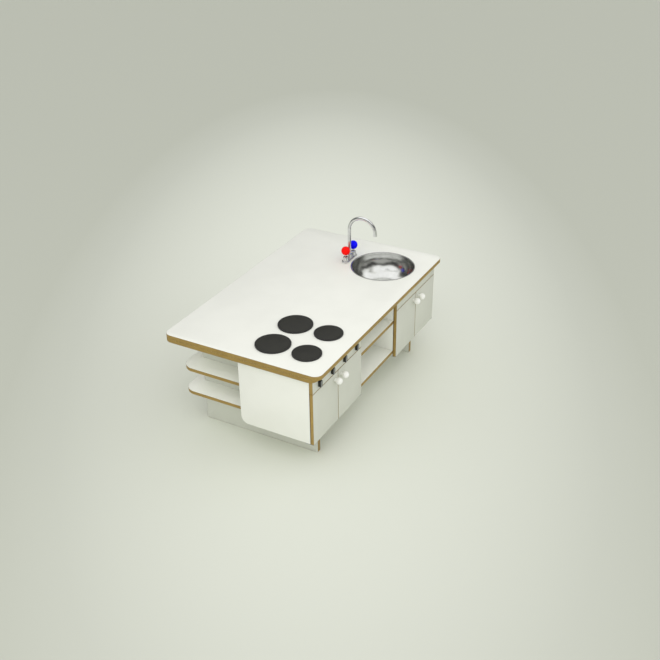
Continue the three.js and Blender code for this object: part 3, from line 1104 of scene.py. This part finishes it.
@dataclass
class ControlKnobs:
    """Black control knobs with a satin plate on the front, and the small lens beside each."""

    corner_mm: float = 5.0
    edge_mm: float = 1.0
    seat_mm: tuple[float, float] = (3.3, 8.0)
    # Margin round the plate, and how deep its bed is.
    plate_mm: tuple[float, float] = (1.6, 0.5)
    plate_gap: tuple[float, float] = (RUNNING, TOUCH)
    lens_mm: tuple[float, float] = (3.4, 0.6)
    lens_offset_mm: tuple[float, float] = (18.5, 3.5)

    def knob(self, node: str) -> bpy.types.Object:
        """Models one knob: an upright block, rounded and bored, with a shallow bed for its plate.

        Args:
            node: CAD node of the knob.

        Returns:
            The knob.
        """
        lo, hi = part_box(node)
        made = self.rounded(lo, hi, self.corner_mm * MM)
        ease(made, self.edge_mm, 3, 60)
        radius, depth = (size * MM for size in self.seat_mm)
        join_solid(made, rod(back(node), radius, 2 * depth, Axis.Y), "DIFFERENCE")
        margin, sunk = (size * MM for size in self.plate_mm)
        bed = self.rounded(
            Vector((lo.x + margin, lo.y - sunk, lo.z + margin)),
            Vector((hi.x - margin, lo.y + sunk, hi.z - margin)),
            self.corner_mm * MM - margin,
        )
        join_solid(made, bed, "DIFFERENCE")
        smooth(made, 35)
        return made

    def plate(self, node: str) -> bpy.types.Object:
        """Models the plate let into the front of one knob.

        Args:
            node: CAD node of the knob.

        Returns:
            The plate.
        """
        lo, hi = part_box(node)
        margin, sunk = (size * MM for size in self.plate_mm)
        margin += self.plate_gap[0]
        made = self.rounded(
            Vector((lo.x + margin, lo.y + self.plate_gap[1], lo.z + margin)),
            Vector((hi.x - margin, lo.y + sunk, hi.z - margin)),
            self.corner_mm * MM - margin,
        )
        ease(made, 0.15, 2, 60)
        smooth(made, 35)
        return made

    @staticmethod
    def rounded(lo: Vector, hi: Vector, corner: float) -> bpy.types.Object:
        """Adds a block whose four corners, seen from the front, are rounded.

        Args:
            lo: Lowest corner.
            hi: Highest corner.
            corner: Radius of the rounding.

        Returns:
            The new object.
        """
        made = block(lo, hi)
        with editing(made):
            pick_edges(made, lambda a, b: abs(a.y - b.y) > (hi.y - lo.y) / 2)
            bpy.ops.mesh.bevel(offset=corner, segments=8, affect="EDGES")
        return made

    def lens(self, centre: Vector) -> bpy.types.Object:
        """Models one lens, a low dome let into the fascia.

        Args:
            centre: Middle of its rear face.

        Returns:
            The lens.
        """
        radius, height = self.lens_mm
        made = turned(
            [(0, 0), (radius, 0), *arc((radius - height, 0), height, 15, 90, 4), (0, height * 1.2)],
            centre,
            Axis.Y,
            24,
        )
        smooth(made, 60)
        return made

    def build(self) -> None:
        """Models one knob, plate and lens, and copies them along the fascia."""
        nodes = [f"control_knob_{i}" for i in range(1, 5)]
        offsets = [back(node) - back(nodes[0]) for node in nodes]
        face = Vector((0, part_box("hob_fascia")[0].y - back(nodes[0]).y, 0))
        aside = Vector((self.lens_offset_mm[0] * MM, 0, self.lens_offset_mm[1] * MM))
        knob = self.knob(nodes[0])
        plate = self.plate(nodes[0])
        lens = self.lens(back(nodes[0]) + face + aside)
        for i, (node, offset) in enumerate(zip(nodes, offsets), 1):
            pieces = [copied(piece, offset) if i > 1 else piece for piece in (knob, plate, lens)]
            hand_over(pieces[0], f"{node}_moulding", node, [BLACK_ABS])
            trim(pieces[1], f"{node}_plate", f"control_{i}", GREY_ALUMINIUM)
            trim(pieces[2], f"control_lens_{i}", "frame", SMOKED_LENS)


@dataclass
class Hotplates:
    """Four hotplates: a black ring with a recess, and a grey disc let into it."""

    rim_mm: float = 5.0
    recess_mm: float = 1.5

    def build(self) -> None:
        """Models a large and a small hotplate and copies each once."""
        for pair in (("rear_outer", "rear_inner"), ("front_outer", "front_inner")):
            rings, discs = self.model(f"hotplate_{pair[0]}", f"hotplate_disc_{pair[0]}")
            for i, place in enumerate(pair):
                ring_node, disc_node = f"hotplate_{place}", f"hotplate_disc_{place}"
                offset = foot(ring_node) - foot(f"hotplate_{pair[0]}")
                ring = copied(rings, offset) if i else rings
                disc = copied(discs, offset) if i else discs
                face = TurnedDisc(f"matt_enamel_{place}", centre=tuple(foot(ring_node)))
                hand_over(ring, f"{ring_node}_ring", ring_node, [RIM_PAINT])
                hand_over(disc, f"{disc_node}_face", disc_node, [face])

    def model(self, ring_node: str, disc_node: str) -> tuple[bpy.types.Object, bpy.types.Object]:
        """Turns one ring and the disc in it.

        Args:
            ring_node: CAD node of the ring.
            disc_node: CAD node of the disc.

        Returns:
            The ring and the disc.
        """
        lo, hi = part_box(ring_node)
        radius, height = (hi.x - lo.x) / 2 / MM, (hi.z - lo.z) / MM
        well = radius - self.rim_mm
        floor = height - self.recess_mm
        disc_radius, disc_height = well - FIT / MM, self.recess_mm - FIT / MM
        ring = turned(
            [(0, 0), (radius, 0), (radius, height), (well, height), (well, floor), (0, floor)],
            foot(ring_node),
            Axis.Z,
            96,
        )
        ease(ring, 0.9, 3, 60)
        smooth(ring)
        disc = turned(
            [(0, 0), (disc_radius, 0), (disc_radius, disc_height), (0, disc_height)],
            foot(disc_node),
            Axis.Z,
            96,
        )
        ease(disc, 0.4, 2, 60)
        smooth(disc)
        return ring, disc


@dataclass
class Sink:
    """The round bowl, spun from one sheet with a flat lip."""

    rim_mm: float = 6.0
    sheet_mm: float = 1.6
    bend_mm: float = 92.0

    def build(self) -> None:
        """Turns the bowl from its outer wall over the lip to its inner wall."""
        lo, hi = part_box("sink_bowl")
        rim = (hi.x - lo.x) / 2 / MM
        sheet = self.sheet_mm
        depth = (hi.z - lo.z) / MM - sheet
        wall = rim - self.rim_mm
        bend = (wall - self.bend_mm, sheet - depth + self.bend_mm)
        top = Vector((foot("sink_bowl").x, foot("sink_bowl").y, hi.z - sheet * MM))
        profile = [
            (0, bend[1] - self.bend_mm - sheet),
            *arc(bend, self.bend_mm + sheet, -90, 0, 20),
            (wall + sheet, 0),
            (rim, 0),
            *arc((rim - sheet / 2, sheet / 2), sheet / 2, 0, 90, 4),
            *arc((wall + sheet, 0), sheet, 90, 180, 6),
            *arc(bend, self.bend_mm, 0, -90, 20),
            (0, bend[1] - self.bend_mm),
        ]
        made = turned(profile, top, Axis.Z, 128)
        smooth(made, 40)
        steel = SpunSteel("spun_stainless_steel", centre=tuple(top))
        hand_over(made, "sink_bowl_spinning", "sink_bowl", [steel])


@dataclass
class Tap:
    """The mixer tap: base, swan-neck spout, and two ball handles on stems."""

    plate_mm: tuple[float, float, float] = (116.0, 34.0, 6.0)
    collar_mm: tuple[float, float] = (12.0, 26.0)
    pillar_mm: tuple[float, float] = (13.0, 28.0)
    spacing_mm: float = 75.0
    spout_mm: tuple[float, float] = (8.0, 1.5)
    bend_mm: float = 67.0
    drop_mm: float = 8.0
    seat_mm: float = 20.0
    ball_mm: float = 21.0
    lip_mm: float = 0.5

    def build(self) -> None:
        """Makes the base, the spout and the balls, and leaves the stems to their finish."""
        self.base()
        self.spout()
        self.balls()

    def base(self) -> None:
        """A plate with rounded ends, a collar for the spout and a pillar under each ball."""
        origin = foot("tap_base")
        length, depth, height = (size * MM for size in self.plate_mm)
        made = block(
            origin + Vector((-length / 2, -depth / 2, 0)), origin + Vector((length / 2, depth / 2, height))
        )
        with editing(made):
            pick_edges(made, lambda a, b: abs(a.z - b.z) > height / 2)
            bpy.ops.mesh.bevel(offset=depth / 2 - 0.05 * MM, segments=20, affect="EDGES")
        ease(made, 1.2, 3, 60)
        collar = self.post(self.collar_mm, 2.0, 1.5, 15)
        join_solid(made, turned(collar, origin, Axis.Z, 48), "UNION")
        pillar = self.post(self.pillar_mm, 1.5, 5.0, 8)
        for side in (-1, 1):
            centre = origin + Vector((side * self.spacing_mm / 2 * MM, 0, 0))
            join_solid(made, turned(pillar, centre, Axis.Z, 48), "UNION")
        radius, seat = self.spout_mm[0] * MM + RUNNING, self.seat_mm * MM
        mouth = origin + Vector((0, 0, self.collar_mm[1] * MM - seat / 2 + SPARE / 2))
        join_solid(made, rod(mouth, radius, seat + SPARE, Axis.Z, 48), "DIFFERENCE")
        for name in ("tap_stem_hot", "tap_stem_cold"):
            low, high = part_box(name)
            join_solid(made, bore(name, high.z - low.z + 2 * FIT), "DIFFERENCE")
        smooth(made, 35)
        hand_over(made, "tap_base_casting", "tap_base", [CHROME])

    def post(self, size: Point, flare: float, crown: float, start: float) -> list[Point]:
        """Profile of a post that flares into the plate and has a rounded top, in millimetres.

        Args:
            size: Radius and height.
            flare: Radius of the hollow curve at its foot.
            crown: Radius of the curve at its top.
            start: Angle at which the top's curve leaves the side, in degrees.

        Returns:
            The points, from the axis to the axis.
        """
        radius, top = size
        plate = self.plate_mm[2]
        shoulder = plate + flare
        return [
            (0, plate / 2),
            (radius + flare, plate / 2),
            (radius + flare, shoulder),
            *arc((radius + flare, shoulder + flare), flare, -90, -180, 5),
            (radius, top - crown),
            *arc((radius - crown, top - crown), crown, start, 90, 3 + round(crown * 0.8)),
            (0, top),
        ]

    def spout(self) -> None:
        """A tube that rises, bends over and drops, open at its end and with a wall."""
        lo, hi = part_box("tap_spout")
        radius, wall = (size * MM for size in self.spout_mm)
        x, y = (lo.x + hi.x) / 2, hi.y - radius
        bend = self.bend_mm * MM
        top = hi.z - bend - radius
        deselect()
        bpy.ops.mesh.primitive_circle_add(vertices=40, radius=radius, location=(x, y, lo.z))
        made = bpy.context.object
        settle(made)
        with editing(made):
            bpy.ops.mesh.select_mode(type="EDGE")
            bpy.ops.mesh.select_all(action="SELECT")
            bpy.ops.mesh.extrude_region_move(TRANSFORM_OT_translate={"value": (0, 0, top - lo.z)})
            bpy.ops.mesh.spin(steps=48, angle=math.pi, center=(x, y - bend, top), axis=(-1, 0, 0))
            drop = (0, 0, -self.drop_mm * MM)
            bpy.ops.mesh.extrude_region_move(TRANSFORM_OT_translate={"value": drop})
            bpy.ops.mesh.select_all(action="SELECT")
            bpy.ops.mesh.remove_doubles(threshold=0.01 * MM)
            bpy.ops.mesh.normals_make_consistent(inside=False)
        apply_modifier(made, "SOLIDIFY", thickness=wall, offset=-1.0)
        smooth(made, 40)
        hand_over(made, "tap_spout_tube", "tap_spout", [CHROME])

    def balls(self) -> None:
        """Turns one ball with its bore and copies it to the other stem."""
        lo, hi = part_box("tap_ball_hot")
        stem_lo, stem_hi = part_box("tap_stem_hot")
        fit = FIT / MM
        bore_radius = (stem_hi.x - stem_lo.x) / 2 / MM + fit
        centre = Vector(((lo.x + hi.x) / 2, (lo.y + hi.y) / 2, hi.z - self.ball_mm * MM))
        floor = (stem_hi.z - centre.z) / MM + fit
        edge = bore_radius + self.lip_mm
        start = -math.degrees(math.acos(edge / self.ball_mm))
        rim = -math.sqrt(self.ball_mm**2 - edge**2) + 0.8 * self.lip_mm
        profile = [
            (0, floor),
            (bore_radius, floor),
            (bore_radius, rim),
            *arc((0, 0), self.ball_mm, start, 90, 40),
        ]
        first = turned(profile, centre, Axis.Z, 72)
        smooth(first, 50)
        second = copied(first, middle("tap_ball_cold") - middle("tap_ball_hot"))
        hand_over(first, "tap_ball_hot_moulding", "tap_ball_hot", [RED_ABS])
        hand_over(second, "tap_ball_cold_moulding", "tap_ball_cold", [BLUE_ABS])


@dataclass
class Metalwork:
    """CAD nodes that keep their own shape: rods, plates, spindles and stems."""

    zinc: tuple[str, ...] = (
        *(
            f"{cabinet}_{piece}_{hand}"
            for cabinet in ("hob", "sink")
            for piece in ("hinge_rod", "pivot_plate")
            for hand in ("left", "right")
        ),
        *(f"control_spindle_{i}" for i in range(1, 5)),
    )
    chrome: tuple[str, ...] = ("tap_stem_hot", "tap_stem_cold")

    def build(self) -> None:
        """Gives each node its plating."""
        for finish, nodes in ((ZINC, self.zinc), (CHROME, self.chrome)):
            for node in nodes:
                shape = frame["nodes"][node]
                for place in shape.material_slots:
                    place.material = finish.material()
                LOG.info("%s keeps its shape, in %s", node, finish.name)


# ---------------------------------------------------------------- studio


@dataclass
class Studio:
    """Floor, lights, world and camera."""

    floor_size: float = 60.0
    floor_gap: float = 0.0005
    # Floor colours in painted light: brightest in the middle of a painted pool of light, darker towards its
    # rim.
    near: str = "ECEFE3"
    middle: str = "DFE2D6"
    far: str = "CCCFC3"
    rim: str = "C4C7BA"
    backdrop: str = "BBBEB2"
    # Middle, reach and heading of that painted pool of light.
    pool_centre: tuple[float, float] = (0.86, 0.39)
    pool_reach: tuple[float, float] = (3.82, 1.55)
    pool_turn: float = 28.8
    soft_level: tuple[float, float] = (1.32, 0.76)
    front: tuple[float, float, float] = (0.45, 0.89, 0.0)
    ceiling: tuple[float, float, float] = (0.18, 0.11, 1.0)
    gloss_level: float = 1.3
    # Size, unevenness and seed of the patches in what the gloss mirrors.
    patches: tuple[float, float, float] = (2.0, 1.3, 4.1)
    key_power: float = 25.0
    key_size: float = 3.0
    key_place: tuple[float, float, float] = (-2.5, -0.9, 3.3)
    key_aim: tuple[float, float, float] = (0.0, 0.0, 0.4)
    lens_mm: float = 53.2
    eye: tuple[float, float, float] = (-3.303, -1.931, 2.502)
    # Heading from +X, downward tilt and roll of the camera, in degrees.
    gaze: tuple[float, float, float] = (29.17, 30.15, -0.82)

    def build(self) -> None:
        """Sets the whole scene up around the kitchen."""
        self.floor()
        self.world()
        self.lamps()
        self.camera()
        bpy.context.scene.view_settings.view_transform = "Standard"

    def floor(self) -> None:
        """A wide pale floor with a long pool of light painted into its colour, darkening gently on both
        sides.
        """
        deselect()
        bpy.ops.mesh.primitive_plane_add(size=self.floor_size, location=(0, 0, -self.floor_gap))
        ground = bpy.context.object
        settle(ground)
        ground.name = "floor"
        paint = bpy.data.materials.new("pale_floor_painted_light_pool")
        paint.use_nodes = True
        tree = paint.node_tree
        shader = tree.nodes["Principled BSDF"]
        where = add_node(tree, "ShaderNodeTexCoord").outputs["Object"]
        pool = add_node(
            tree,
            "ShaderNodeMapping",
            settings={"vector_type": "TEXTURE"},
            values={
                "Location": (*self.pool_centre, 0),
                "Rotation": (0, 0, math.radians(self.pool_turn)),
                "Scale": (*self.pool_reach, 1000),
            },
            links={"Vector": where},
        ).outputs[0]
        fall = add_node(
            tree, "ShaderNodeVectorMath", settings={"operation": "DOT_PRODUCT"}, links={0: pool, 1: pool}
        ).outputs["Value"]
        shades = add_node(
            tree,
            "ShaderNodeValToRGB",
            links={0: fall},
            stops=((0.0, self.near), (0.28, self.middle), (0.7, self.far), (1.0, self.rim)),
        )
        tree.links.new(shades.outputs[0], shader.inputs["Base Color"])
        shader.inputs["Roughness"].default_value = 0.9
        shader.inputs["Specular IOR Level"].default_value = 0.1
        ground.data.materials.append(paint)

    def world(self) -> None:
        """A plain backdrop for the eye, soft light for surfaces and a darker room for the gloss."""
        sky = bpy.data.worlds.new("studio")
        bpy.context.scene.world = sky
        sky.use_nodes = True
        tree = sky.node_tree
        tree.nodes.clear()
        way = add_node(tree, "ShaderNodeTexCoord").outputs["Generated"]
        plain = add_node(
            tree, "ShaderNodeBackground", values={"Color": linear(self.backdrop), "Strength": 1.0}
        )
        path = add_node(tree, "ShaderNodeLightPath")
        lit = add_node(
            tree,
            "ShaderNodeMixShader",
            links={
                0: path.outputs["Is Glossy Ray"],
                1: self.soft_light(tree, way).outputs[0],
                2: self.bright_ceiling(tree, way).outputs[0],
            },
        )
        seen = add_node(
            tree,
            "ShaderNodeMixShader",
            links={0: path.outputs["Is Camera Ray"], 1: lit.outputs[0], 2: plain.outputs[0]},
        )
        add_node(tree, "ShaderNodeOutputWorld", links={"Surface": seen.outputs[0]})

    def soft_light(self, tree: bpy.types.NodeTree, way: bpy.types.NodeSocket) -> bpy.types.Node:
        """Makes the light from all round, stronger from the front.

        Args:
            tree: The world's node tree.
            way: The direction looked in.

        Returns:
            The light.
        """
        height = add_node(tree, "ShaderNodeSeparateXYZ", links={0: way}).outputs["Z"]
        room = add_node(
            tree, "ShaderNodeValToRGB", links={0: height}, stops=((0.0, "FAFAFA"), (0.7, "F4F4F4"))
        ).outputs[0]
        depth = add_node(
            tree,
            "ShaderNodeVectorMath",
            settings={"operation": "DOT_PRODUCT"},
            values={1: self.front},
            links={0: way},
        ).outputs["Value"]
        near, far = self.soft_level
        level = add_node(
            tree,
            "ShaderNodeMapRange",
            values={"From Min": -1.0, "From Max": 0.6, "To Min": near, "To Max": far},
            links={"Value": depth},
        ).outputs[0]
        return add_node(tree, "ShaderNodeBackground", links={"Color": room, "Strength": level})

    def bright_ceiling(self, tree: bpy.types.NodeTree, way: bpy.types.NodeSocket) -> bpy.types.Node:
        """Makes what the metal mirrors: a dark room under a bright, uneven ceiling.

        Args:
            tree: The world's node tree.
            way: The direction looked in.

        Returns:
            The light.
        """
        size, depth, seed = self.patches
        slope = add_node(
            tree,
            "ShaderNodeVectorMath",
            settings={"operation": "DOT_PRODUCT"},
            values={1: self.ceiling},
            links={0: way},
        ).outputs["Value"]
        patch = add_node(
            tree,
            "ShaderNodeTexNoise",
            settings={"noise_dimensions": "4D"},
            values={"Scale": size, "Detail": 1.0, "W": seed},
            links={"Vector": way},
        ).outputs[0]
        uneven = add_node(
            tree,
            "ShaderNodeMath",
            settings={"operation": "MULTIPLY_ADD"},
            values={1: depth, 2: -depth / 2},
            links={0: patch},
        ).outputs[0]
        lift = add_node(
            tree, "ShaderNodeMath", settings={"operation": "ADD"}, links={0: slope, 1: uneven}
        ).outputs[0]
        shades = add_node(
            tree,
            "ShaderNodeValToRGB",
            links={0: lift},
            stops=((0.02, "A4A4A0"), (0.26, "2E2E2C"), (0.46, "444442"), (0.68, "DADAD6"), (0.84, "FFFFFF")),
        ).outputs[0]
        return add_node(
            tree, "ShaderNodeBackground", values={"Strength": self.gloss_level}, links={"Color": shades}
        )

    def lamps(self) -> None:
        """One broad lamp high over the hob end, left out of the gloss so that no disc shows in it."""
        lamp = bpy.data.lights.new("key", "AREA")
        lamp.shape = "DISK"
        lamp.size = self.key_size
        lamp.energy = self.key_power
        lamp.color = linear("FFFEFC")[:3]
        holder = bpy.data.objects.new("key", lamp)
        bpy.context.scene.collection.objects.link(holder)
        holder.location = self.key_place
        holder.visible_glossy = False
        aim = Vector(self.key_aim) - holder.location
        holder.rotation_euler = aim.to_track_quat("-Z", "Y").to_euler()

    def camera(self) -> None:
        """A camera over the hob end and the doors."""
        lens = bpy.data.cameras.new("view")
        lens.sensor_width = 36.0
        lens.lens = self.lens_mm
        holder = bpy.data.objects.new("view", lens)
        bpy.context.scene.collection.objects.link(holder)
        holder.location = self.eye
        yaw, pitch, roll = (math.radians(angle) for angle in self.gaze)
        turn = Matrix.Rotation(yaw - math.pi / 2, 4, "Z") @ Matrix.Rotation(math.pi / 2 - pitch, 4, "X")
        holder.rotation_euler = (turn @ Matrix.Rotation(roll, 4, "Z")).to_euler()
        bpy.context.scene.camera = holder


def main() -> None:
    """Builds the kitchen piece by piece, then the studio."""
    logging.basicConfig(level=logging.INFO, format="%(name)s: %(message)s")
    for board in boards():
        board.build()
    for part in (DoorKnobs(), ControlKnobs(), Hotplates(), Sink(), Tap(), Metalwork()):
        part.build()
    Studio().build()


if __name__ == "__main__":
    main()
